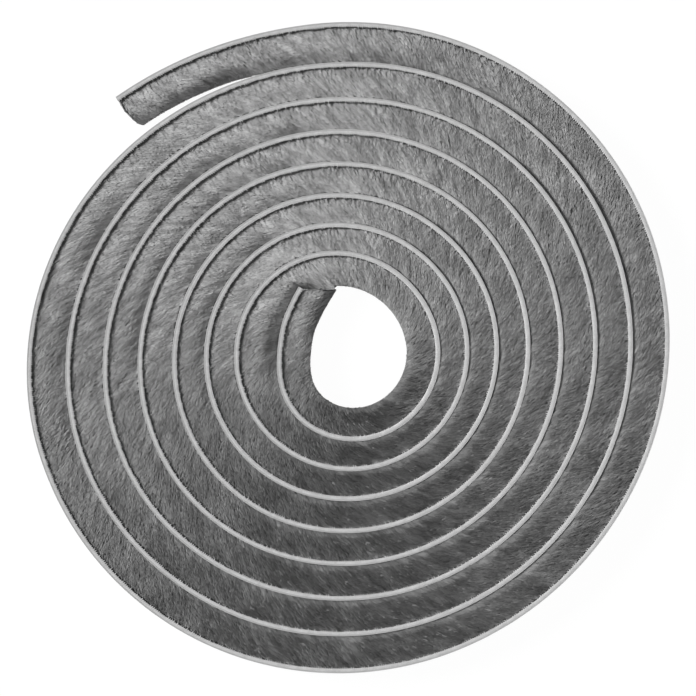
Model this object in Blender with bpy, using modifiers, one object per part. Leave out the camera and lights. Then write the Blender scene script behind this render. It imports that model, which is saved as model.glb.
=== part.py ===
"""Self-adhesive brush seal strip, wound into a flat coil that lies on its edge.

The strip is a woven backing with a dense grey pile standing on one face and an
adhesive tape, still under its release liner, on the other. It is coiled with the
tape outside and the pile pointing at the coil's centre.

Units are metres and +Z is up. The origin is under the middle of the coil, on the
surface that it lies on. Angles are in degrees, counterclockwise seen from above,
and keep counting from round to round, so the outer end is eight rounds after the
inner one.
"""

import math

import bmesh
import bpy
from mathutils import Vector

ROUND = 360.0
UP = Vector((0.0, 0.0, 1.0))

# Section of the strip
strip_width = 0.0090
backing_thickness = 0.0007
tape_thickness = 0.00045
glue_line = 0.0001
pile_length = 0.0088
pile_seat = 0.0001
pile_root_inset = 0.0007
pile_crown_inset = 0.0001
pile_tip_inset = 0.0016
pile_tip_bulge = 0.0035
pile_crown_share = 0.45
pile_section_shares = (0.0, 0.14, 0.45, 0.8, 1.0)

# Lean of the pile towards the inner end of the strip, where its cut end splays, and
# how much lower it stands round the eye, where the tips crowd and fold over
pile_lean = 9.0
end_splay = 21.0
end_splay_sweep = 90.0
eye_fold = 0.0012
end_fold_share = 0.9
end_fold_sweep = 40.0
eye_fold_fades = 400.0
eye_fold_fade_sweep = 140.0
outer_end_bulge = 0.0006

# Rounds of the coil: near circles, and each climbs over the one inside it in a step
inner_end_angle = 127.0
outer_end_angle = 3012.6
first_round_radius = 0.02376
pile_squeeze = 0.00275
round_easing = 0.000168
round_clearance = 0.0003
cut_end_lift = 0.0006
cut_end_lift_sweep = 12.0
step_angle = 151.5
step_drift = -1.2
first_step_sweep = 281.0
step_sweep_change = -24.0

# Ovalness of the rounds, the dip of the innermost one, and the two ends, which spring out straighter
oval_first = -0.00047
oval_change = 0.00024
oval_axis = 48.7
dip = 0.0038
dip_angle = 177.0
dip_spread = 45.5
inner_end_spring_sweep = 21.0
inner_end_spring = 0.0014
outer_end_spring_sweep = 92.0
outer_end_spring = 0.0028

# Flatness of the facets along the coil
facet_sag = 0.00016

band_thickness = tape_thickness + glue_line + backing_thickness
strip_height = band_thickness + pile_seat + pile_length
round_pitch = strip_height - pile_squeeze
tape_middle = (band_thickness - tape_thickness) / 2
backing_middle = -(band_thickness - backing_thickness) / 2
pile_foot = -band_thickness / 2 - pile_seat


def smooth_step(share):
    """0 before the step, 1 after it, and an even climb between them."""
    share = min(1.0, max(0.0, share))
    return share * share * (3.0 - 2.0 * share)


def rounds_climbed(angle):
    """How many rounds lie inside the strip here, with the climb of each step spread over its sweep."""
    climbed = -1.0
    for step in range(int(angle // ROUND) + 2):
        sweep = first_step_sweep + step_sweep_change * step
        middle = step_angle + (ROUND + step_drift) * step
        climbed += smooth_step((angle - middle) / sweep + 0.5)
    return climbed


def band_radius(angle):
    """Distance from the coil's centre to the middle of the band that tape and backing make."""
    climbed = rounds_climbed(angle)
    radius = first_round_radius + round_pitch * climbed + round_easing * climbed**2
    oval = oval_first + oval_change * climbed
    radius += oval * math.cos(math.radians(2.0 * (angle - oval_axis)))
    radius -= dip * math.exp(-(((angle - dip_angle) / dip_spread) ** 2))
    into_inner_end = max(0.0, 1.0 - (angle - inner_end_angle) / inner_end_spring_sweep)
    into_outer_end = max(0.0, 1.0 - (outer_end_angle - angle) / outer_end_spring_sweep)
    return radius + inner_end_spring * into_inner_end**2 + outer_end_spring * into_outer_end**2


def from_centre(angle, radius):
    return Vector((math.cos(math.radians(angle)), math.sin(math.radians(angle)), 0.0)) * radius


def band_point(angle):
    return from_centre(angle, band_radius(angle))


def along(angle):
    """The strip's direction here, towards its outer end."""
    return (band_point(angle + 0.5) - band_point(angle - 0.5)).normalized()


def outward(angle):
    """The way that the tape's outer face looks."""
    return along(angle).cross(UP)


def offset_point(angle, distance):
    return band_point(angle) + outward(angle) * distance


def facet_sweep(angle):
    """Angle that one facet spans here, which keeps its sag."""
    return math.degrees(2.0 * math.acos(1.0 - facet_sag / band_radius(angle)))


def stations():
    """Angles of the facets' edges, closer together on the wide rounds than on the tight ones."""
    angles = [inner_end_angle]
    while angles[-1] < outer_end_angle:
        angles.append(angles[-1] + facet_sweep(angles[-1]))
    spare = (angles[-1] - outer_end_angle) / (angles[-1] - inner_end_angle)
    return [angle - (angle - inner_end_angle) * spare for angle in angles]


def near_inner_end(angle, sweep):
    """1 at the strip's inner end, and fading along the strip."""
    return math.exp((inner_end_angle - angle) / sweep)


def pile_direction(angle):
    """The way that the fibres run from their foot to their tips."""
    lean = math.radians(pile_lean + end_splay * near_inner_end(angle, end_splay_sweep))
    return -outward(angle) * math.cos(lean) - along(angle) * math.sin(lean)


def free_length(angle):
    """Length of the fibres where nothing presses on them."""
    in_the_eye = 1.0 - smooth_step((angle - eye_fold_fades) / eye_fold_fade_sweep)
    unfolded = end_fold_share * near_inner_end(angle, end_fold_sweep)
    fold = eye_fold * in_the_eye * (1.0 - unfolded)
    return pile_length - fold


def cut_end_radius(angle):
    """Distance from the centre to the cut that ends the strip inside the coil, or 0 past its tips."""
    root = offset_point(inner_end_angle, band_thickness / 2)
    reach = pile_direction(inner_end_angle) * free_length(inner_end_angle)
    tip = offset_point(inner_end_angle, pile_foot) + reach
    cut = tip - root
    ray = from_centre(angle, 1.0)
    facing = cut.cross(ray).z
    if abs(facing) < 1e-9 or (tip.angle(root) < from_centre(angle, 1.0).angle(root)):
        return 0.0
    return max(0.0, cut.cross(root).z / facing)


def floor_radius(angle):
    """Distance from the centre to what lies inside the round at this angle, or 0 over the open eye."""
    below = angle - ROUND
    if below < inner_end_angle - 90.0:
        return 0.0
    lift = cut_end_lift * math.exp(-(((below - inner_end_angle) / cut_end_lift_sweep) ** 2))
    if below < inner_end_angle:
        return cut_end_radius(below) + lift
    return band_radius(below) + band_thickness / 2 / outward(below).dot(from_centre(below, 1.0)) + lift


def clear_length(angle):
    """Length of the fibres here: their own, or what the round inside leaves them."""
    foot = offset_point(angle, pile_foot)
    direction = pile_direction(angle)
    length = free_length(angle)
    for _ in range(12):
        tip = foot + direction * length
        turned = math.degrees(math.atan2(foot.cross(tip).z, foot.dot(tip)))
        room = tip.length - floor_radius(angle + turned) - round_clearance
        length = min(free_length(angle), length + room)
    return length


def fibre_length(angle):
    """The least clear length along the facets beside this station, so that they clear corners too."""
    sweep = facet_sweep(angle)
    return min(clear_length(angle + sweep * share) for share in (-1.0, -0.5, 0.0, 0.5, 1.0))


def pile_half_width(share, squeezed):
    """Half the pile's width at a share of its height: narrow at the root, fullest at the crown.

    The tips bulge back out by the share of its height that the pile is squeezed.
    """
    if share < pile_crown_share:
        side, inset = 1.0 - share / pile_crown_share, pile_root_inset
    else:
        side = (share - pile_crown_share) / (1.0 - pile_crown_share)
        inset = max(pile_crown_inset, pile_tip_inset - pile_tip_bulge * squeezed)
    return strip_width / 2 - pile_crown_inset - (inset - pile_crown_inset) * side**2


def plan_centre(angles):
    """Middle of the coil's outline, which the origin goes under."""
    rim = [offset_point(angle, band_thickness / 2) for angle in angles]
    xs = [point.x for point in rim]
    ys = [point.y for point in rim]
    return Vector(((min(xs) + max(xs)) / 2, (min(ys) + max(ys)) / 2, 0.0))


def finish(name, red, green, blue, roughness):
    material = bpy.data.materials.new(name)
    material.use_nodes = True
    surface = material.node_tree.nodes["Principled BSDF"]
    surface.inputs["Base Color"].default_value = (red, green, blue, 1.0)
    surface.inputs["Roughness"].default_value = roughness
    surface.inputs["Metallic"].default_value = 0.0
    return material


def place(name, data, material, collection, position):
    piece = bpy.data.objects.new(name, data)
    data.materials.append(material)
    piece.location = position
    collection.objects.link(piece)
    return piece


def ribbon(name, angles, distance, thickness, material, collection, position):
    """A flat layer of the strip: a wall drawn along the coil and thickened evenly to both sides."""
    wall = bpy.data.curves.new(name, "CURVE")
    wall.dimensions = "2D"
    wall.extrude = strip_width / 2
    line = wall.splines.new("POLY")
    line.points.add(len(angles) - 1)
    for point, angle in zip(line.points, angles):
        point.co = (*offset_point(angle, distance), 1.0)
    piece = place(name, wall, material, collection, position)
    thicken = piece.modifiers.new("thickness", "SOLIDIFY")
    thicken.thickness = thickness
    thicken.offset = 0.0
    thicken.use_even_offset = True
    return piece


def pile_ring(mesh, angle):
    """The pile's section at one station: up one side from root to tip, and down the other."""
    foot = offset_point(angle, pile_foot)
    length = fibre_length(angle)
    squeezed = 1.0 - length / free_length(angle)
    bulge = along(angle) * (outer_end_bulge if angle >= outer_end_angle - 0.01 else 0.0)
    upper, lower = [], []
    for share in pile_section_shares:
        middle = foot + pile_direction(angle) * length * share + bulge * 4.0 * share * (1.0 - share)
        rise = UP * pile_half_width(share, squeezed)
        upper.append(middle + rise)
        lower.append(middle - rise)
    return [mesh.verts.new(point) for point in upper + lower[::-1]]


def brush_pile(name, angles, material, collection, position):
    """The pile as one soft mass: sections of changing height, lofted along the coil."""
    mesh = bmesh.new()
    rings = [pile_ring(mesh, angle) for angle in angles]
    for here, there in zip(rings, rings[1:]):
        for side in range(len(here)):
            after = (side + 1) % len(here)
            mesh.faces.new((here[side], here[after], there[after], there[side]))
    mesh.faces.new(rings[0])
    mesh.faces.new(rings[-1])
    bmesh.ops.recalc_face_normals(mesh, faces=mesh.faces)
    data = bpy.data.meshes.new(name)
    mesh.to_mesh(data)
    mesh.free()
    data.shade_smooth()
    data.set_sharp_from_angle(angle=math.radians(40.0))
    return place(name, data, material, collection, position)


def build():
    for leftover in list(bpy.data.objects):
        bpy.data.objects.remove(leftover)
    strip = bpy.data.collections.new("brush_seal_strip")
    bpy.context.scene.collection.children.link(strip)
    angles = stations()
    position = UP * (strip_width / 2) - plan_centre(angles)
    liner_white = finish("release_liner", 0.62, 0.62, 0.62, 0.45)
    woven_grey = finish("woven_backing", 0.66, 0.66, 0.66, 0.7)
    pile_grey = finish("pile_fibre", 0.2, 0.2, 0.2, 0.9)
    ribbon("adhesive_tape", angles, tape_middle, tape_thickness, liner_white, strip, position)
    ribbon("woven_backing", angles, backing_middle, backing_thickness, woven_grey, strip, position)
    brush_pile("brush_pile", angles, pile_grey, strip, position)


build()
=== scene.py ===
"""Studio picture of a self-adhesive brush seal strip, wound into a flat coil that lies on its edge.

The strip is a woven backing with a dense grey pile on one face and, on the other, an
adhesive that is still under its release liner. Its layers are made straight, with X
along the strip, Y from the liner towards the tips of the pile and Z up across its
width, and are then wound round the coil. Lengths are metres and angles degrees. Angles
round the coil run anticlockwise from X, as seen from above, by 360 a round.
"""

import math

import bpy
import numpy as np
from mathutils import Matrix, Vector


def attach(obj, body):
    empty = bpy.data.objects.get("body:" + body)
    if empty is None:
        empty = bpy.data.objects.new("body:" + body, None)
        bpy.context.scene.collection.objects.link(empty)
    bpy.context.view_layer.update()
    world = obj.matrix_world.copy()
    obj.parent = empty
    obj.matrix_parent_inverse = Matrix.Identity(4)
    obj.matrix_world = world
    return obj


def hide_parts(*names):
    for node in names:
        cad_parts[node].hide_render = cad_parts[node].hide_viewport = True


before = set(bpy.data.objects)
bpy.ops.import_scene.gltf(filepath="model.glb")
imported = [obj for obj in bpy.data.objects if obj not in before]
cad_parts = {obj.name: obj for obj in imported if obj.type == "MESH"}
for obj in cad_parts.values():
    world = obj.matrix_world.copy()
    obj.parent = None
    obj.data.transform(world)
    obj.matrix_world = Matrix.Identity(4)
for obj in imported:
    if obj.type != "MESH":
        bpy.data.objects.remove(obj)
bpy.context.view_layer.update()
scene = bpy.context.scene

# Studio. A pale floor, an even sky and one broad lamp from the upper left, low enough
# for the backing to shade the roots of the pile. The picture sees floor and sky white,
# and the floor keeps a faint shadow of the coil.
floor_reach = 3.0
floor_drop = 0.0001
floor_grey = 0.75
floor_glow = 0.98
floor_shadow_share = 0.03
sky_strength = 0.16
lamp_strength = 4.4
lamp_heading = 162.0
lamp_height = 36.0
lamp_spread = 24.0


def deselect_all():
    for item in bpy.context.selected_objects:
        item.select_set(False)


def take(piece):
    """Makes this piece the only one selected, and the active one."""
    deselect_all()
    piece.select_set(True)
    bpy.context.view_layer.objects.active = piece


def white_to_the_lens(nodes, links, seen, otherwise, output):
    """Shows one shader to the camera, to mirrors and through glass, and the other to all else."""
    path = nodes.new("ShaderNodeLightPath")
    camera_or_mirror = nodes.new("ShaderNodeMath")
    camera_or_mirror.operation = "MAXIMUM"
    links.new(path.outputs["Is Camera Ray"], camera_or_mirror.inputs[0])
    links.new(path.outputs["Is Glossy Ray"], camera_or_mirror.inputs[1])
    or_glass = nodes.new("ShaderNodeMath")
    or_glass.operation = "MAXIMUM"
    links.new(camera_or_mirror.outputs[0], or_glass.inputs[0])
    links.new(path.outputs["Is Transmission Ray"], or_glass.inputs[1])
    choice = nodes.new("ShaderNodeMixShader")
    links.new(or_glass.outputs[0], choice.inputs["Fac"])
    links.new(otherwise, choice.inputs[1])
    links.new(seen, choice.inputs[2])
    links.new(choice.outputs[0], output)


deselect_all()
bpy.ops.mesh.primitive_plane_add(size=2 * floor_reach, location=(0.0, 0.0, -floor_drop))
floor = bpy.context.object
floor.name = "floor"
bpy.ops.object.transform_apply(location=True, rotation=True, scale=True)
floor_paint = bpy.data.materials.new("pale_floor")
floor_paint.use_nodes = True
nodes, links = floor_paint.node_tree.nodes, floor_paint.node_tree.links
nodes.clear()
matt = nodes.new("ShaderNodeBsdfDiffuse")
matt.inputs["Color"].default_value = (floor_grey, floor_grey, floor_grey, 1.0)
shadow_catch = nodes.new("ShaderNodeBsdfDiffuse")
shadow_catch.inputs["Color"].default_value = (floor_shadow_share,) * 3 + (1.0,)
glow = nodes.new("ShaderNodeEmission")
glow.inputs["Strength"].default_value = floor_glow
seen = nodes.new("ShaderNodeAddShader")
links.new(shadow_catch.outputs[0], seen.inputs[0])
links.new(glow.outputs[0], seen.inputs[1])
output = nodes.new("ShaderNodeOutputMaterial")
white_to_the_lens(nodes, links, seen.outputs[0], matt.outputs[0], output.inputs["Surface"])
floor.data.materials.append(floor_paint)

world = bpy.data.worlds.new("sky")
scene.world = world
world.use_nodes = True
nodes, links = world.node_tree.nodes, world.node_tree.links
nodes.clear()
even_light = nodes.new("ShaderNodeBackground")
even_light.inputs["Strength"].default_value = sky_strength
white_sky = nodes.new("ShaderNodeBackground")
white_sky.inputs["Strength"].default_value = 1.0
for light in (even_light, white_sky):
    light.inputs["Color"].default_value = (1.0, 1.0, 1.0, 1.0)
output = nodes.new("ShaderNodeOutputWorld")
surface = output.inputs["Surface"]
white_to_the_lens(nodes, links, white_sky.outputs[0], even_light.outputs[0], surface)

lamp = bpy.data.lights.new("broad_lamp", "SUN")
lamp.energy = lamp_strength
lamp.angle = math.radians(lamp_spread)
lamp_stand = bpy.data.objects.new("broad_lamp", lamp)
scene.collection.objects.link(lamp_stand)
towards_lamp = Vector((
    math.cos(math.radians(lamp_heading)) * math.cos(math.radians(lamp_height)),
    math.sin(math.radians(lamp_heading)) * math.cos(math.radians(lamp_height)),
    math.sin(math.radians(lamp_height)),
))
lamp_stand.rotation_euler = towards_lamp.to_track_quat("Z", "Y").to_euler()
scene.view_settings.view_transform = "Standard"

# Camera. A long lens straight above the coil, as far away as sets the picture's width
# at the level of the strip's upper edge.
picture_width = 0.1816
lens_length = 277.0
sensor_width = 36.0
strip_top = 0.009
camera_place = (-0.00001, -0.000135)
camera_data = bpy.data.cameras.new("camera")
camera_data.lens = lens_length
camera_data.sensor_width = sensor_width
camera = bpy.data.objects.new("camera", camera_data)
camera.location = (*camera_place, strip_top + picture_width * lens_length / sensor_width)
scene.collection.objects.link(camera)
scene.camera = camera

# Release liner. A thin smooth film over the adhesive, and the outer face of the coil. It
# is made as one short length, repeated along the strip, and wound: near circles, each
# climbing over the one inside it in a step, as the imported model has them.
ROUND = 360.0
inner_end_angle = 127.0
outer_end_angle = 3012.6
first_round_radius = 0.02376
round_pitch = 0.0074
round_easing = 0.000168
round_clearance = 0.0003
cut_end_lift = 0.0006
cut_end_lift_sweep = 12.0
step_angle = 151.5
step_drift = -1.2
first_step_sweep = 281.0
step_sweep_change = -24.0
oval_first = -0.00047
oval_change = 0.00024
oval_axis = 48.7
dip = 0.0038
dip_angle = 177.0
dip_spread = 45.5
inner_end_spring_sweep = 21.0
inner_end_spring = 0.0014
outer_end_spring_sweep = 92.0
outer_end_spring = 0.0028
band_thickness = 0.00125
strip_half_width = strip_top / 2
coil_shift = Vector((-0.00027, -0.000396, strip_half_width))
guide_step = 1.5
even_across = 1.0
merge_distance = 1e-6
end_normal_share = 0.9
band_tilt = 0.03
tilt_bias = 0.5
tilt_spacing = 0.07
tilt_reach = 0.004

liner_outer = -0.000625
liner_inner = -0.00050
liner_step = 0.0019
liner_rounding = 0.00005
speckles_per_cloud = 7.0


def smooth_step(share):
    share = min(1.0, max(0.0, share))
    return share * share * (3.0 - 2.0 * share)


def rounds_climbed(angle):
    climbed = -1.0
    for step in range(int(angle // ROUND) + 2):
        sweep = first_step_sweep + step_sweep_change * step
        middle = step_angle + (ROUND + step_drift) * step
        climbed += smooth_step((angle - middle) / sweep + 0.5)
    return climbed


def band_radius(angle):
    """Distance from the coil's centre to the middle of the backing and tape."""
    climbed = rounds_climbed(angle)
    radius = first_round_radius + round_pitch * climbed + round_easing * climbed**2
    oval = oval_first + oval_change * climbed
    radius += oval * math.cos(math.radians(2.0 * (angle - oval_axis)))
    radius -= dip * math.exp(-(((angle - dip_angle) / dip_spread) ** 2))
    into_inner_end = max(0.0, 1.0 - (angle - inner_end_angle) / inner_end_spring_sweep)
    into_outer_end = max(0.0, 1.0 - (outer_end_angle - angle) / outer_end_spring_sweep)
    return radius + inner_end_spring * into_inner_end**2 + outer_end_spring * into_outer_end**2


def band_point(angle):
    turn = math.radians(angle)
    return Vector((math.cos(turn), math.sin(turn), 0.0)) * band_radius(angle)


guide_count = 1 + round((outer_end_angle - inner_end_angle) / guide_step)
guide_angles = np.linspace(inner_end_angle, outer_end_angle, guide_count)
guide_points = np.array([band_point(angle) + coil_shift for angle in guide_angles])
guide_runs = np.linalg.norm(np.diff(guide_points, axis=0), axis=1)
guide_reach = np.concatenate(([0.0], np.cumsum(guide_runs)))
strip_length = float(guide_reach[-1])

coil_line = bpy.data.curves.new("coil_line", "CURVE")
coil_line.dimensions = "2D"
coil_line.use_deform_bounds = False
spline = coil_line.splines.new("POLY")
spline.points.add(guide_count - 1)
for point, place in zip(spline.points, guide_points):
    point.co = (place[0], place[1], 0.0, 1.0)
coil_guide = bpy.data.objects.new("coil_line", coil_line)
scene.collection.objects.link(coil_guide)


def drift(x, y, x_spacing, y_spacing, seed):
    """A smooth random field over the strip, between -1 and 1, that changes over the spacings."""
    u, v = (x - x.min()) / x_spacing, (y - y.min()) / y_spacing
    grid = np.random.default_rng(seed).uniform(-1.0, 1.0, (int(u.max()) + 3, int(v.max()) + 3))
    i, j = np.floor(u).astype(int), np.floor(v).astype(int)
    a, b = u - i, v - j
    a, b = a * a * (3.0 - 2.0 * a), b * b * (3.0 - 2.0 * b)
    low = grid[i, j] * (1.0 - a) + grid[i + 1, j] * a
    high = grid[i, j + 1] * (1.0 - a) + grid[i + 1, j + 1] * a
    return low * (1.0 - b) + high * b


def drift_along(spacing, seed):
    """The same, at the points of the guide and for changes along the strip alone."""
    return drift(guide_reach, np.zeros_like(guide_reach), spacing, even_across, seed)


band_tilts = band_tilt * (tilt_bias + drift_along(tilt_spacing, seed=3))


def get_places(mesh):
    places = np.empty(3 * len(mesh.vertices))
    mesh.vertices.foreach_get("co", places)
    return places.reshape(-1, 3)


def set_places(mesh, places):
    mesh.vertices.foreach_set("co", places.ravel())


def wind(piece):
    """Winds a straight piece round the coil. Its band stands a little askew, here and there."""
    places = get_places(piece.data)
    tilts = np.interp(places[:, 0], guide_reach, band_tilts)
    places[:, 1] += tilts * places[:, 2] * np.exp(-places[:, 1].clip(0.0) / tilt_reach)
    set_places(piece.data, places)
    take(piece)
    bend = piece.modifiers.new("winding", "CURVE")
    bend.object = coil_guide
    bend.deform_axis = "POS_X"
    bpy.ops.object.modifier_apply(modifier=bend.name)
    piece.location = (0.0, 0.0, coil_shift.z)
    bpy.ops.object.transform_apply(location=True, rotation=True, scale=True)


def select_by(mesh, wanted, kind):
    """Selects the faces or edges, in object mode, for which wanted(item) is true."""
    for group in (mesh.vertices, mesh.edges, mesh.polygons):
        group.foreach_set("select", np.zeros(len(group), dtype=bool))
    for item in getattr(mesh, kind):
        item.select = wanted(item)


def short_length(name, length, low_y, high_y, half_width, rounding):
    """One short length of a layer, open at both ends, with its four long edges rounded over."""
    deselect_all()
    bpy.ops.mesh.primitive_cube_add(size=1.0, location=(length / 2, (low_y + high_y) / 2, 0.0))
    piece = bpy.context.object
    piece.name = piece.data.name = name
    piece.scale = (length, high_y - low_y, 2 * half_width)
    bpy.ops.object.transform_apply(location=True, rotation=True, scale=True)
    bpy.ops.object.mode_set(mode="EDIT")
    bpy.ops.mesh.select_mode(type="FACE")
    bpy.ops.object.mode_set(mode="OBJECT")
    select_by(piece.data, lambda face: abs(face.normal.x) > end_normal_share, "polygons")
    bpy.ops.object.mode_set(mode="EDIT")
    bpy.ops.mesh.delete(type="ONLY_FACE")
    bpy.ops.mesh.select_mode(type="EDGE")
    bpy.ops.object.mode_set(mode="OBJECT")
    corners = piece.data.vertices

    def is_long(edge):
        start, end = edge.vertices
        return abs(corners[start].co.x - corners[end].co.x) > length / 2

    select_by(piece.data, is_long, "edges")
    bpy.ops.object.mode_set(mode="EDIT")
    bpy.ops.mesh.bevel(offset=rounding, segments=1)
    bpy.ops.object.mode_set(mode="OBJECT")
    return piece


def repeat_along(piece, length, count):
    """Repeats a short length along the whole strip, joins the copies and closes the two ends."""
    take(piece)
    row = piece.modifiers.new("row", "ARRAY")
    row.use_relative_offset = False
    row.use_constant_offset = True
    row.constant_offset_displace = (length, 0.0, 0.0)
    row.count = count
    row.use_merge_vertices = True
    row.merge_threshold = merge_distance
    bpy.ops.object.modifier_apply(modifier=row.name)
    bpy.ops.object.mode_set(mode="EDIT")
    bpy.ops.mesh.select_all(action="SELECT")
    bpy.ops.mesh.fill_holes(sides=0)
    bpy.ops.mesh.normals_make_consistent(inside=False)
    bpy.ops.object.mode_set(mode="OBJECT")


def smooth_by(piece, degrees):
    """Shades a piece smooth, apart from edges that are sharper than this."""
    take(piece)
    bpy.ops.object.shade_smooth_by_angle(angle=math.radians(degrees))


def new_finish(name, roughness, **constants):
    """A material with its shader, ready for nodes. The constants are set on the shader itself."""
    finish = bpy.data.materials.new(name)
    finish.use_nodes = True
    shader = finish.node_tree.nodes["Principled BSDF"]
    shader.inputs["Roughness"].default_value = roughness
    for socket, value in constants.items():
        shader.inputs[socket.replace("_", " ").title()].default_value = value
    return finish, finish.node_tree.nodes, finish.node_tree.links, shader


def grey_ramp(nodes, *stops):
    """A colour ramp between greys, each stop a place and a level."""
    ramp = nodes.new("ShaderNodeValToRGB")
    marks = ramp.color_ramp.elements
    while len(marks) < len(stops):
        marks.new(0.5)
    for mark, (place, level) in zip(marks, stops):
        mark.position = place
        mark.color = (level, level, level, 1.0)
    return ramp


mottle = bpy.data.node_groups.new("mottle", "ShaderNodeTree")
mottle.interface.new_socket("Size", in_out="INPUT", socket_type="NodeSocketFloat")
mottle.interface.new_socket("Fine Share", in_out="INPUT", socket_type="NodeSocketFloat")
mottle.interface.new_socket("Mask", in_out="OUTPUT", socket_type="NodeSocketFloat")
group_in = mottle.nodes.new("NodeGroupInput")
group_out = mottle.nodes.new("NodeGroupOutput")
coordinates = mottle.nodes.new("ShaderNodeTexCoord")
per_size = mottle.nodes.new("ShaderNodeMath")
per_size.operation = "DIVIDE"
per_size.inputs[0].default_value = 1.0
mottle.links.new(group_in.outputs["Size"], per_size.inputs[1])
cloud = mottle.nodes.new("ShaderNodeTexNoise")
cloud.inputs["Detail"].default_value = 2.0
mottle.links.new(coordinates.outputs["Object"], cloud.inputs["Vector"])
mottle.links.new(per_size.outputs[0], cloud.inputs["Scale"])
finer = mottle.nodes.new("ShaderNodeMath")
finer.operation = "MULTIPLY"
finer.inputs[1].default_value = speckles_per_cloud
mottle.links.new(per_size.outputs[0], finer.inputs[0])
speckle = mottle.nodes.new("ShaderNodeTexNoise")
speckle.inputs["Detail"].default_value = 3.0
mottle.links.new(coordinates.outputs["Object"], speckle.inputs["Vector"])
mottle.links.new(finer.outputs[0], speckle.inputs["Scale"])
both = mottle.nodes.new("ShaderNodeMix")
mottle.links.new(group_in.outputs["Fine Share"], both.inputs["Factor"])
mottle.links.new(cloud.outputs["Fac"], both.inputs["A"])
mottle.links.new(speckle.outputs["Fac"], both.inputs["B"])
mottle.links.new(both.outputs["Result"], group_out.inputs["Mask"])


def add_mottle(nodes, size, fine_share):
    spots = nodes.new("ShaderNodeGroup")
    spots.node_tree = mottle
    spots.inputs["Size"].default_value = size
    spots.inputs["Fine Share"].default_value = fine_share
    return spots.outputs["Mask"]


def add_greys(nodes, links, mask, socket, *stops):
    """Feeds a socket with greys that follow the mask."""
    ramp = grey_ramp(nodes, *stops)
    links.new(mask, ramp.inputs["Fac"])
    links.new(ramp.outputs["Color"], socket)


def add_bump(nodes, links, shader, height, depth, distance):
    bump = nodes.new("ShaderNodeBump")
    bump.inputs["Strength"].default_value = depth
    bump.inputs["Distance"].default_value = distance
    links.new(height, bump.inputs["Height"])
    links.new(bump.outputs["Normal"], shader.inputs["Normal"])


liner_count = round(strip_length / liner_step)
liner_step = strip_length / liner_count
liner = short_length(
    "release_liner", liner_step, liner_outer, liner_inner, strip_half_width, liner_rounding
)
repeat_along(liner, liner_step, liner_count)
wind(liner)
smooth_by(liner, degrees=30.0)

liner_film, nodes, links, shader = new_finish("satin_liner_film", roughness=0.42)
mask = add_mottle(nodes, size=0.012, fine_share=0.3)
add_greys(nodes, links, mask, shader.inputs["Base Color"], (0.3, 0.44), (0.7, 0.62))
add_greys(nodes, links, mask, shader.inputs["Roughness"], (0.3, 0.36), (0.7, 0.5))
add_bump(nodes, links, shader, mask, depth=0.25, distance=0.0002)
liner.data.materials.append(liner_film)
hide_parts("adhesive_tape")
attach(liner, "root")

# Adhesive. The clear grey tack between liner and backing. Its edges lie a little deeper
# than theirs, so it shows as a thin darker seam along both edges of the strip.
adhesive_inner = -0.00022
adhesive_recess = 0.00003
adhesive_rounding = 0.00004
adhesive_step = 0.0026
adhesive_count = round(strip_length / adhesive_step)
adhesive_step = strip_length / adhesive_count
adhesive = short_length(
    "adhesive",
    adhesive_step,
    liner_inner,
    adhesive_inner,
    strip_half_width - adhesive_recess,
    adhesive_rounding,
)
repeat_along(adhesive, adhesive_step, adhesive_count)
wind(adhesive)
smooth_by(adhesive, degrees=30.0)
tack, nodes, links, shader = new_finish("grey_tack", roughness=0.35)
mask = add_mottle(nodes, size=0.003, fine_share=0.5)
add_greys(nodes, links, mask, shader.inputs["Base Color"], (0.3, 0.36), (0.7, 0.45))
add_bump(nodes, links, shader, mask, depth=0.4, distance=0.0001)
adhesive.data.materials.append(tack)
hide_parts("adhesive_tape")
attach(adhesive, "root")

# Woven backing. A stiff pale tape of coarse yarns, coated on the back. Its cut edges are
# rounded, and on the pile's side the weft loops stand out as small teeth.
backing_outer = adhesive_inner
backing_inner = 0.00050
weft_pitch = 0.00057
tooth_reach = 0.0004
tooth_lift = 0.0001
tooth_shares = (0.2, 1.5)
backing_rounding = 0.00016
rounding_start = 1.6 * backing_rounding
coated_edge = 0.00005
loop_guard = 0.01
weft_count = round(strip_length / weft_pitch)
weft_pitch = strip_length / weft_count

backing_section = (
    (backing_outer, strip_half_width - coated_edge),
    (backing_inner - rounding_start, strip_half_width),
    (backing_inner, strip_half_width - backing_rounding),
    (backing_inner, -strip_half_width + backing_rounding),
    (backing_inner - rounding_start, -strip_half_width),
    (backing_outer, -strip_half_width + coated_edge),
)
toothed_corners = (2, 3)
tooth_at_ring = (0.0, 1.0, 0.25, 0.0)
last_ring = len(tooth_at_ring) - 1


def corner_tube(name, corners, rings):
    """An open tube for a section to be given to: rings of corners, one apart along Z."""
    deselect_all()
    bpy.ops.mesh.primitive_circle_add(vertices=corners, radius=1.0, fill_type="NOTHING")
    tube = bpy.context.object
    tube.name = tube.data.name = name
    bpy.ops.object.mode_set(mode="EDIT")
    bpy.ops.mesh.select_all(action="SELECT")
    for _ in range(rings - 1):
        bpy.ops.mesh.extrude_region_move(TRANSFORM_OT_translate={"value": (0.0, 0.0, 1.0)})
    bpy.ops.object.mode_set(mode="OBJECT")
    return tube


def corner_number(place, corners):
    """Which corner of its ring this is, counted round the tube."""
    turn = ROUND / corners
    return round((math.degrees(math.atan2(place.y, place.x)) - turn / 2) / turn) % corners


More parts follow.
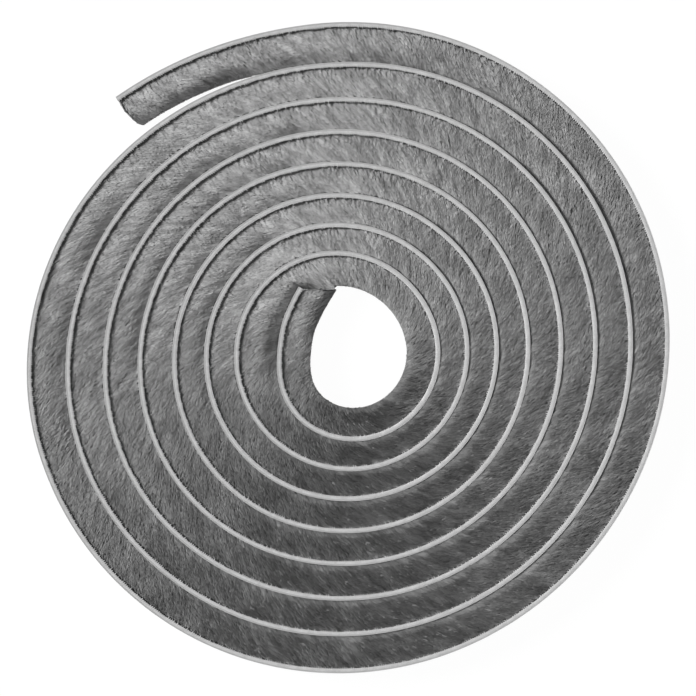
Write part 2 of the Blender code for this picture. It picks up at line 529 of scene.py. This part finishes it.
backing = corner_tube("backing_tape", len(backing_section), len(tooth_at_ring))
for corner in backing.data.vertices:
    number = corner_number(corner.co, len(backing_section))
    ring = round(corner.co.z)
    y, z = backing_section[number]
    tooth = tooth_at_ring[ring]
    if number in toothed_corners:
        y += tooth_reach * tooth
        z += math.copysign(tooth_lift * tooth, z)
    corner.co = (ring * weft_pitch / last_ring, y, z)
repeat_along(backing, weft_pitch, weft_count)
places = get_places(backing.data)
loop = np.floor(places[:, 0] / weft_pitch + loop_guard).astype(int).clip(0, weft_count - 1)
loop_shares = np.random.default_rng(5).uniform(*tooth_shares, weft_count)[loop]
beyond = (places[:, 1] - backing_inner).clip(0.0)
places[:, 1] += beyond * (loop_shares - 1.0)
set_places(backing.data, places)
wind(backing)
smooth_by(backing, degrees=50.0)
weave, nodes, links, shader = new_finish("pale_woven_tape", roughness=0.6)
mask = add_mottle(nodes, size=0.0016, fine_share=0.5)
add_greys(nodes, links, mask, shader.inputs["Base Color"], (0.3, 0.4), (0.7, 0.6))
add_bump(nodes, links, shader, mask, depth=0.5, distance=0.0001)
backing.data.materials.append(weave)
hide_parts("woven_backing")
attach(backing, "root")

# Heart of the pile. The imported inner fibres, which the outer ones hide: a body with the section
# of the pile, shorter where the round inside leaves the fibres less room. Its grey, darker than the
# fibres' own, is painted shade for the depths of the pile.
pile_length = 0.0088
foot_gap = 0.0001
pile_foot = band_thickness / 2 + foot_gap
pile_lean = 9.0
end_splay = 21.0
end_splay_sweep = 90.0
eye_fold = 0.0012
end_fold_share = 0.9
end_fold_sweep = 40.0
eye_fold_fades = 400.0
eye_fold_fade_sweep = 140.0
crown_half_width = 0.0044
tip_drop = 0.0007
tip_bulge = 0.0025
most_bulge = 0.00025
tight_rise = 0.00035
tight_edge = 0.0003
tight_edge_power = 6
tight_angle = 310.0
tight_spread = 80.0
valley_depth = 0.0014
valley_angle = 115.0
valley_spread = 95.0
round_share = 0.8
round_spacing = 0.09
crown_share = 0.35
valley_start = 0.45
touch_room = 0.0016
tail_touch_room = 0.00038
touch_fade = 0.0002
end_overlap = 0.0004
tail_sinks = 0.0021
tail_reach = 0.13
stretch_sinks = 1.5
outer_end_bulge = 0.0006
outer_corner = 0.0006
outer_corner_start = 0.8
outer_corner_reach = 0.002
tangent_reach = 0.5
eye_sweep = 90.0
nearly_parallel = 1e-9
clear_tries = 12
touch_tries = 4
heart_depth = 0.0006
heart_least = 0.0003
heart_valley = 1.4
heart_tip_gap = 0.00005
heart_root_drop = 0.0007
heart_root_power = 8
heart_shares = (0.0, 0.2, 0.45, 0.75, 1.0)
heart_step = 0.0022


def along(angle):
    return (band_point(angle + tangent_reach) - band_point(angle - tangent_reach)).normalized()


def outward(angle):
    return along(angle).cross(Vector((0.0, 0.0, 1.0)))


def near_inner_end(angle, sweep):
    return math.exp((inner_end_angle - angle) / sweep)


def lean_at(angle):
    """Lean of the pile's mass towards the inner end, in radians."""
    return math.radians(pile_lean + end_splay * near_inner_end(angle, end_splay_sweep))


def free_length(angle):
    """Length of the fibres where nothing presses on them."""
    in_the_eye = 1.0 - smooth_step((angle - eye_fold_fades) / eye_fold_fade_sweep)
    unfolded = end_fold_share * near_inner_end(angle, end_fold_sweep)
    return pile_length - eye_fold * in_the_eye * (1.0 - unfolded)


def pile_direction(angle):
    lean = lean_at(angle)
    return -outward(angle) * math.cos(lean) - along(angle) * math.sin(lean)


def ray_at(angle):
    return Vector((math.cos(math.radians(angle)), math.sin(math.radians(angle)), 0.0))


end_root = band_point(inner_end_angle) + outward(inner_end_angle) * band_thickness / 2
end_tip = (
    band_point(inner_end_angle)
    - outward(inner_end_angle) * pile_foot
    + pile_direction(inner_end_angle) * free_length(inner_end_angle)
)


def floor_radius(angle, end_lift=cut_end_lift):
    """Distance from the coil's centre to what lies inside the round here, or 0 over the eye."""
    below = angle - ROUND
    if below < inner_end_angle - eye_sweep:
        return 0.0
    lift = end_lift * math.exp(-(((below - inner_end_angle) / cut_end_lift_sweep) ** 2))
    if below >= inner_end_angle:
        return band_radius(below) + band_thickness / 2 / outward(below).dot(ray_at(below)) + lift
    cut = end_tip - end_root
    facing = cut.cross(ray_at(below)).z
    beside_cut = end_tip.angle(end_root) < ray_at(below).angle(end_root)
    if abs(facing) < nearly_parallel or beside_cut:
        return lift
    return max(0.0, cut.cross(end_root).z / facing) + lift


def room_beyond(angle, length, end_lift=cut_end_lift):
    """Room between the ends of fibres of this length and what lies inside them."""
    foot = band_point(angle) - outward(angle) * pile_foot
    tip = foot + pile_direction(angle) * length
    turned = math.degrees(math.atan2(foot.cross(tip).z, foot.dot(tip)))
    return tip.length - floor_radius(angle + turned, end_lift)


def clear_length(angle):
    """Length of the fibres here: their own, or what the round inside leaves them."""
    length = free_length(angle)
    for _ in range(clear_tries):
        room = room_beyond(angle, length) - round_clearance
        length = min(free_length(angle), length + room)
    return length


def touching_length(angle, length):
    """Length at which these fibres touch what lies inside them, or lap over its cut end."""
    for _ in range(touch_tries):
        room = room_beyond(angle, length, -end_overlap)
        if room > touch_room:
            break
        length += room
    return length


pile_lengths = np.array([clear_length(angle) for angle in guide_angles])
pile_squeezes = 1.0 - pile_lengths / np.array([free_length(angle) for angle in guide_angles])
spare_rooms = np.array([room_beyond(*pair) for pair in zip(guide_angles, pile_lengths)])
touch_rooms = np.where(guide_angles > outer_end_angle - ROUND, tail_touch_room, touch_room)
touching = 1.0 - ((spare_rooms - touch_rooms) / touch_fade).clip(0.0, 1.0)
touch_lengths = np.array([touching_length(*pair) for pair in zip(guide_angles, pile_lengths)])
pile_stretches = np.where(touching > 0.0, touching * (touch_lengths - pile_lengths), 0.0)
pile_lengths += pile_stretches
pile_leans = np.array([lean_at(angle) for angle in guide_angles])


def length_at(x):
    return np.interp(x, guide_reach, pile_lengths)


def share_past(share, start):
    """0 as far as the start, and from there evenly up to 1 at the tips."""
    return ((share - start) / (1.0 - start)).clip(0.0, 1.0)


def in_pile(x, share):
    """Where the pile's mass that is rooted at x has got to at a share of its length: X and Y."""
    run = length_at(x) * share
    lean = np.interp(x, guide_reach, pile_leans)
    shift = outer_end_bulge * 4.0 * share * (1.0 - share)
    shift -= outer_corner * share_past(share, outer_corner_start) ** 2
    shift *= np.exp((x - strip_length) / outer_corner_reach)
    return x - run * np.sin(lean) + shift, pile_foot + run * np.cos(lean)


def on_side(x, middle, spread):
    """1 on one side of the coil, round the middle angle, and 0 on the other side."""
    angle = np.interp(x, guide_reach, guide_angles) - middle
    return np.exp(-((((angle + ROUND / 2) % ROUND - ROUND / 2) / spread) ** 2))


round_drift = drift_along(round_spacing, seed=9)


def valley_at(x):
    """How far the tips have sunk. Some stretches have sunk more than others."""
    sunk = valley_depth * on_side(x, valley_angle, valley_spread)
    sunk *= np.interp(x, guide_reach, 1.0 + round_share * round_drift)
    sunk += tail_sinks * np.exp((x - strip_length) / tail_reach)
    stretched = np.interp(x, guide_reach, pile_stretches) - round_clearance
    return sunk + stretch_sinks * stretched.clip(0.0)


def half_width(x, share, valley=1.0):
    """Half the pile's width at a share of its length. Squeezed tips bulge back out."""
    share = np.clip(share, 0.0, 1.0)
    above = share_past(share, crown_share)
    squeezed = np.interp(x, guide_reach, pile_squeezes)
    tight = on_side(x, tight_angle, tight_spread)
    fall = (tip_drop - tip_bulge * squeezed).clip(-most_bulge) * above**2 * (1.0 - tight)
    fall -= tight * (tight_rise * share - tight_edge * share**tight_edge_power)
    sunk = valley * valley_at(x) * share_past(share, valley_start) ** 2
    return crown_half_width - fall - sunk


def face_outwards(piece):
    take(piece)
    bpy.ops.object.mode_set(mode="EDIT")
    bpy.ops.mesh.select_all(action="SELECT")
    bpy.ops.mesh.normals_make_consistent(inside=False)
    bpy.ops.object.mode_set(mode="OBJECT")


heart_corners = 2 * len(heart_shares)
heart = corner_tube("pile_heart", heart_corners, rings=2)
heart_count = round((strip_length - 2 * heart_depth) / heart_step)
heart_step = (strip_length - 2 * heart_depth) / heart_count
for corner in heart.data.vertices:
    number = corner_number(corner.co, heart_corners)
    upper = number < len(heart_shares)
    share = heart_shares[number if upper else heart_corners - 1 - number]
    corner.co = (corner.co.z * heart_step, share, 1.0 if upper else -1.0)
repeat_along(heart, heart_step, heart_count)
places = get_places(heart.data)
foot_x, share, side = places[:, 0] + heart_depth, places[:, 1], places[:, 2]
inner_x, inner_y = in_pile(foot_x, share)
touches = np.interp(foot_x, guide_reach, touching)
inner_y -= share * (heart_tip_gap + heart_depth * (1.0 - touches))
inner_y -= (1.0 - share) * foot_gap
inner_z = half_width(foot_x, share, heart_valley) - heart_depth
inner_z -= heart_root_drop * (1.0 - share) ** heart_root_power
inner_z = side * inner_z.clip(heart_least)
set_places(heart.data, np.stack([inner_x, inner_y, inner_z], axis=1))
face_outwards(heart)
wind(heart)
smooth_by(heart, degrees=40.0)
# Painted shade: the inner fibres get a darker grey than the outer ones, for the shade deep in the
# pile.
inner_fibre_painted_shade, nodes, links, shader = new_finish("inner_fibre_painted_shade", roughness=0.85)
mask = add_mottle(nodes, size=0.0009, fine_share=0.5)
add_greys(nodes, links, mask, shader.inputs["Base Color"], (0.3, 0.16), (0.7, 0.26))
add_bump(nodes, links, shader, mask, depth=0.6, distance=0.0002)
heart.data.materials.append(inner_fibre_painted_shade)
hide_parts("brush_pile")
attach(heart, "root")

# Fibres. Fine grey polypropylene that stands on the backing in tufts and lies over towards
# the inner end. One pointed lock of fibres is modelled and planted all over the pile, each
# copy from its own root, under the surface, to its own tip.
top_pieces = 3
top_locks = 49000
underside_locks = 30000
underside_widening = 1.9
lock_shoulder = 0.7
lock_shoulder_drop = 0.06
lock_length = 0.0032
lock_length_scatter = 0.2
scatter_limit = 2.0
lock_width = 0.00040
least_width = 0.7
width_range = 0.6
lock_rise = 15.0
rise_drift = 0.2
rise_patch = 0.005
steeper_rise = 0.35
steeper_angle = 245.0
flatter_rise = 0.3
flatter_angle = 140.0
rise_spread = 45.0
lock_roll = 8.0
nap_lean = 46.0
nap_drift = 18.0
nap_patch = 0.009
nap_scatter = 4.0
nap_lean_limit = 70.0
outer_end_share = 0.4
outer_end_reach = 0.012
least_tip_share = 0.04
tip_share_range = 0.97
golden_share = 0.6180339887
tip_scatter = 0.00002
tip_drift = 0.00012
tip_patch = 0.003
streak_width = 0.0005
streak_length = 0.0013
streak_lift = 0.00004
streak_contrast = 0.22
clump_width = 0.0013
clump_length = 0.0024
clump_lift = 0.00018
clump_contrast = 0.22
blotch_size = 0.011
blotch_share = 0.45
strip_end_gap = 0.0001
root_drop = 0.00012
loose_root_drop = 0.0007
root_reach = 0.0023
loose_root_painted_shade = 0.5
root_angle = 130.0
root_spread = 90.0
tuft_pitch = 0.00095
tuft_spread = 0.5
tuft_reach = 0.0008
notch_share = 0.55
notch_width = 0.4 * tuft_pitch
notch_length = 0.002
fringe_share = 0.14
fringe_start = 0.92
fringe_range = 0.12
overlap = 0.03
nap_tone = 0.5
tone_scatter = 0.06
tone_drift = 0.12
tone_patch = 0.004
pale_every = 41
pale_tone = 0.3
tight_fringe = 0.2
tight_contrast = 1.0
loose_contrast = 1.0
tight_relief = 0.2
tight_tip_painted_light = 0.05
tight_lean = 8.0
tight_tip_rise = 0.6
map_margin = 0.02
map_tone_range = 0.96
map_lock_width = 0.024
map_tip = 0.97
map_tip_range = 0.94
fibre_tilt = 0.0008
tone_greys = ((0.0, 0.185), (0.5, 0.28), (1.0, 0.395))
# Painted shade along each lock: darker at its root, deep in the pile, full grey at its tip.
painted_root_shade_greys = ((0.0, 0.5), (0.45, 0.92), (1.0, 1.0))

deselect_all()
bpy.ops.mesh.primitive_cone_add(vertices=3, radius1=0.5, depth=1.0, end_fill_type="NGON")
lock = bpy.context.object
lock.name = "lock_pattern"
base = [corner for corner in lock.data.vertices if corner.co.z < 0.0]
apex = next(corner for corner in lock.data.vertices if corner.co.z > 0.0)
apex.co = (1.0, 0.0, 0.0)
base[0].co = (0.0, 0.0, 0.0)
base[1].co = (lock_shoulder, 0.5, -lock_shoulder_drop)
base[2].co = (lock_shoulder, -0.5, -lock_shoulder_drop)
face_outwards(lock)
lock_shape = np.array([corner.co for corner in lock.data.vertices])
lock_faces = np.array([list(face.vertices) for face in lock.data.polygons])
bpy.data.objects.remove(lock)


def planted(name, roots, tips, widths, rolls, tones, up):
    """One mesh of all these locks. Its map holds each lock's tone, and how near its tip is."""
    count = len(roots)
    runs = tips - roots
    lengths = np.linalg.norm(runs, axis=1, keepdims=True)
    forward = runs / lengths
    side = np.cross(up, forward)
    side /= np.linalg.norm(side, axis=1, keepdims=True)
    lift = np.cross(forward, side)
    turn, tilt = np.cos(rolls)[:, None], np.sin(rolls)[:, None]
    side, lift = side * turn + lift * tilt, lift * turn - side * tilt
    reach = lock_shape[:, 0][None, :, None] * runs[:, None, :]
    spread = lock_shape[:, 1][None, :, None] * (widths[:, None] * side)[:, None, :]
    height = lock_shape[:, 2][None, :, None] * (widths[:, None] * lift)[:, None, :]
    corners = roots[:, None, :] + reach + spread + height
    faces = lock_faces[None, :, :] + len(lock_shape) * np.arange(count)[:, None, None]
    mesh = bpy.data.meshes.new(name)
    mesh.vertices.add(corners.shape[0] * corners.shape[1])
    mesh.vertices.foreach_set("co", corners.ravel())
    mesh.loops.add(faces.size)
    mesh.loops.foreach_set("vertex_index", faces.ravel().astype(np.int32))
    mesh.polygons.add(faces.size // 3)
    mesh.polygons.foreach_set("loop_start", np.arange(0, faces.size, 3, dtype=np.int32))
    mesh.update(calc_edges=True)
    mesh.shade_flat()
    uv_map = mesh.uv_layers.new(name="OFBake")
    tone_u = map_margin + map_tone_range * np.clip(tones, 0.0, 1.0)
    places = np.empty((count, len(lock_shape), 2))
    places[:, :, 0] = tone_u[:, None] + map_lock_width * lock_shape[:, 1][None, :]
    from_tip = (lengths / lock_length).clip(0.0, 1.0) * (1.0 - lock_shape[:, 0])[None, :]
    places[:, :, 1] = map_tip - map_tip_range * from_tip
    at_loops = places.reshape(-1, 2)[faces.ravel()]
    uv_map.uv.foreach_set("vector", at_loops.astype(np.float32).ravel())
    piece = bpy.data.objects.new(name, mesh)
    scene.collection.objects.link(piece)
    return piece


fibre, nodes, links, shader = new_finish(
    "brushed_fibre", roughness=0.62, sheen_weight=0.1, sheen_roughness=0.45
)
own_map = nodes.new("ShaderNodeUVMap")
own_map.uv_map = "OFBake"
split = nodes.new("ShaderNodeSeparateXYZ")
links.new(own_map.outputs["UV"], split.inputs["Vector"])
shaded = nodes.new("ShaderNodeMix")
shaded.data_type = "RGBA"
shaded.blend_type = "MULTIPLY"
shaded.inputs["Factor"].default_value = 1.0
tone_input, root_shade_input = (socket for socket in shaded.inputs if socket.type == "RGBA")
add_greys(nodes, links, split.outputs["X"], tone_input, *tone_greys)
# Painted shade: each lock is multiplied darker towards its root, which lies deep in the pile.
add_greys(nodes, links, split.outputs["Y"], root_shade_input, *painted_root_shade_greys)
shaded_colour = next(socket for socket in shaded.outputs if socket.type == "RGBA")
links.new(shaded_colour, shader.inputs["Base Color"])
add_bump(nodes, links, shader, split.outputs["Y"], depth=1.0, distance=fibre_tilt)


def finished_locks(piece):
    wind(piece)
    piece.data.materials.append(fibre)
    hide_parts("brush_pile")
    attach(piece, "root")


def near_foot(y):
    """1 beside the backing, and 0 further up the pile."""
    return np.exp(-(((y - pile_foot) / root_reach) ** 2))


def varied(width, draws, count):
    """Widths of locks, scattered round this one."""
    return width * (least_width + width_range * draws.uniform(0.0, 1.0, count))


def nap(name, count, low_x, high_x, above, widening, seed):
    """The locks of the upper or lower surface over one stretch of the strip.

    At the lower right of the coil the pile stands tight, right up to its tips, which are
    painted a little lighter there. At the upper left it is loose, and has sunk beside the
    backing, and the locks beside the backing are painted darker there as shade.
    """
    draws = np.random.default_rng(seed)
    order = np.arange(count)
    foot_x = low_x + (high_x - low_x) * (order + draws.uniform(0.0, 1.0, count)) / count
    tip_share = least_tip_share + tip_share_range * ((order * golden_share) % 1.0)
    tight = on_side(foot_x, tight_angle, tight_spread)
    loose = on_side(foot_x, root_angle, root_spread)
    fringe = draws.uniform(0.0, 1.0, count) < fringe_share + tight_fringe * tight
    tip_share[fringe] = fringe_start + fringe_range * tip_share[fringe]
    tip_share = np.minimum(tip_share, 1.0 + overlap * np.interp(foot_x, guide_reach, touching))
    tip_x, tip_y = in_pile(foot_x, tip_share)
    flow = tip_x + tip_y * math.tan(math.radians(nap_lean))
    lean = nap_lean + nap_drift * drift(tip_x, tip_y, nap_patch, nap_patch, seed + 1)
    lean += tight_lean * tight + nap_scatter * (1.0 + tight) * draws.standard_normal(count)
    lean *= 1.0 - (1.0 - outer_end_share) * np.exp((tip_x - strip_length) / outer_end_reach)
    lean = np.radians(lean.clip(-nap_lean_limit, nap_lean_limit))
    unevenness = draws.standard_normal(count).clip(-scatter_limit, scatter_limit)
    length = lock_length * (1.0 + lock_length_scatter * unevenness)
    room = (tip_y - pile_foot + foot_gap) / np.cos(lean)
    shortened = np.minimum(length, room)
    root_x = tip_x + shortened * np.sin(lean)
    root_y = tip_y - shortened * np.cos(lean)
    to_tuft = tuft_pitch * np.round(root_x / tuft_pitch) - root_x
    to_tuft *= (1.0 - tuft_spread) * (room < length)
    root_x = np.minimum(root_x + to_tuft, strip_length - strip_end_gap)
    root_share = (root_y - pile_foot) / (length_at(foot_x) * math.cos(math.radians(pile_lean)))
    valley = 1.0 + blotch_share * drift(tip_x, tip_y, blotch_size, even_across, seed + 7)
    tip_z = half_width(foot_x, tip_share, valley) + tip_scatter * draws.standard_normal(count)
    tip_z += tip_drift * drift(tip_x, tip_y, tip_patch, tip_patch, seed + 2)
    relief = clump_lift * (1.0 + tight_relief * tight)
    tip_z += relief * drift(flow, tip_y, clump_width, clump_length, seed + 8)
    tip_z += streak_lift * drift(flow, tip_y, streak_width, streak_length, seed + 3)
    rise = 1.0 + rise_drift * drift(tip_x, tip_y, rise_patch, rise_patch, seed + 4)
    rise += steeper_rise * on_side(foot_x, steeper_angle, rise_spread)
    rise -= flatter_rise * on_side(foot_x, flatter_angle, rise_spread)
    rise -= tight_tip_rise * tight * fringe
    rise = np.radians(lock_rise * rise)
    root_z = half_width(foot_x, root_share, valley) - shortened * np.tan(rise)
    notch = 1.0 + notch_share * drift(tip_x, tip_y, notch_width, notch_length, seed + 9)
    fall = root_drop + loose_root_drop * notch * loose
    tip_z -= fall * near_foot(tip_y)
    root_z -= fall * near_foot(root_y)
    tip_x += to_tuft * np.exp(-(tip_y - pile_foot) / tuft_reach)
    if not above:
        tip_z = np.minimum(tip_z, crown_half_width)
    side = 1.0 if above else -1.0
    roots = np.stack([root_x, root_y, side * root_z], axis=1)
    tips = np.stack([tip_x, tip_y, side * tip_z], axis=1)
    widths = varied(widening * lock_width, draws, count)
    rolls = np.radians(lock_roll) * draws.standard_normal(count)
    tones = nap_tone + tone_scatter * (1.0 + tight_contrast * tight) * draws.standard_normal(count)
    # Painted light: on the tight side the fringe tips, lit there, are made a little lighter.
    tones += tight_tip_painted_light * tight * fringe
    tones += tone_drift * drift(tip_x, tip_y, tone_patch, tone_patch, seed + 5)
    contrast = streak_contrast * (1.0 + tight_contrast * tight)
    tones += contrast * drift(flow, tip_y, streak_width, streak_length, seed + 6)
    in_valley = on_side(foot_x, valley_angle, valley_spread)
    contrast = clump_contrast * (1.0 + loose_contrast * in_valley)
    tones += contrast * drift(flow, tip_y, clump_width, clump_length, seed + 10)
    # Painted shade: on the loose side, the locks beside the backing, which shades them there, are
    # made darker.
    tones -= loose_root_painted_shade * loose * near_foot(tip_y)
    tones[order % pale_every == 0] += pale_tone
    return planted(name, roots, tips, widths, rolls, tones, (0.0, 0.0, side))


for part in range(top_pieces):
    name, seed = f"pile_top_{part + 1}", 20 + 10 * part
    low_x = strip_length * part / top_pieces
    high_x = strip_length * (part + 1) / top_pieces
    finished_locks(nap(name, top_locks, low_x, high_x, above=True, widening=1.0, seed=seed))
underside = nap(
    "pile_underside",
    underside_locks,
    0.0,
    strip_length,
    above=False,
    widening=underside_widening,
    seed=60,
)
finished_locks(underside)

# Free tips and cut ends. Where no round lies inside it, round the eye and along the tail,
# the pile ends in a face of fibre tips, and at both ends of the strip it is cut straight.
face_tone = 0.45
face_tone_scatter = 0.12
face_locks = 12000
face_lock_share = 0.2
face_lock_width = 0.00022
face_lock_roll = 0.5
face_lean = 0.3
face_tip_scatter = 0.008
face_root_scatter = 0.0003
face_root_end_gap = 0.0002
face_tip_inset = 0.0001
face_root_inset = 0.0004
tail_painted_shade = 0.35
end_locks = 700
end_lock_share = 0.3
end_lock_roll = 0.3
end_lock_scatter = 0.00006
end_lock_inset = 0.0001
end_root_depth = 0.0003


def tip_face(name, count, seed):
    draws = np.random.default_rng(seed)
    free = np.interp(0.5 * (guide_reach[1:] + guide_reach[:-1]), guide_reach, 1.0 - touching)
    passed = np.concatenate(([0.0], np.cumsum(free * guide_runs)))
    foot_x = np.interp(draws.uniform(0.0, passed[-1], count), passed, guide_reach)
    across = draws.uniform(-1.0, 1.0, count)
    tip_share = 1.0 + face_tip_scatter * draws.standard_normal(count)
    tip_x, tip_y = in_pile(foot_x, tip_share)
    root_x, root_y = in_pile(foot_x, tip_share - face_lock_share)
    root_x += face_root_scatter * draws.standard_normal(count)
    root_x = root_x.clip(face_root_end_gap, strip_length - face_root_end_gap)
    tip_z = across * (half_width(foot_x, 1.0) - face_tip_inset)
    root_z = across * (half_width(foot_x, 1.0 - face_lock_share) - face_root_inset)
    roots = np.stack([root_x, root_y, root_z], axis=1)
    tips = np.stack([tip_x, tip_y, tip_z], axis=1)
    widths = varied(face_lock_width, draws, count)
    tones = face_tone + face_tone_scatter * draws.standard_normal(count)
    # Painted shade: the face of tips along the tail, which lies in shade, is made darker towards
    # the outer end.
    tones -= tail_painted_shade * np.exp((foot_x - strip_length) / tail_reach)
    rolls = face_lock_roll * draws.standard_normal(count)
    up = np.stack([np.full(count, face_lean), np.zeros(count), across], axis=1)
    return planted(name, roots, tips, widths, rolls, tones, up)


def end_face(name, count, outer, seed):
    draws = np.random.default_rng(seed)
    outwards = 1.0 if outer else -1.0
    foot_x = np.full(count, strip_length if outer else 0.0)
    across = draws.uniform(-1.0, 1.0, count)
    low_share = draws.uniform(0.0, 1.0 - end_lock_share, count)
    corners = []
    for share in (low_share, low_share + end_lock_share):
        x, y = in_pile(foot_x, share)
        x += outwards * end_lock_scatter * draws.standard_normal(count)
        z = across * (half_width(foot_x, share) - end_lock_inset)
        corners.append(np.stack([x, y, z], axis=1))
    roots, tips = corners
    roots[:, 0] -= outwards * end_root_depth
    widths = varied(lock_width, draws, count)
    tones = face_tone + face_tone_scatter * draws.standard_normal(count)
    rolls = end_lock_roll * draws.standard_normal(count)
    return planted(name, roots, tips, widths, rolls, tones, (outwards, 0.0, 0.0))


finished_locks(tip_face("pile_free_tips", face_locks, seed=70))
finished_locks(end_face("pile_outer_end", end_locks, outer=True, seed=71))
finished_locks(end_face("pile_inner_end", end_locks, outer=False, seed=72))

bpy.data.objects.remove(coil_guide)
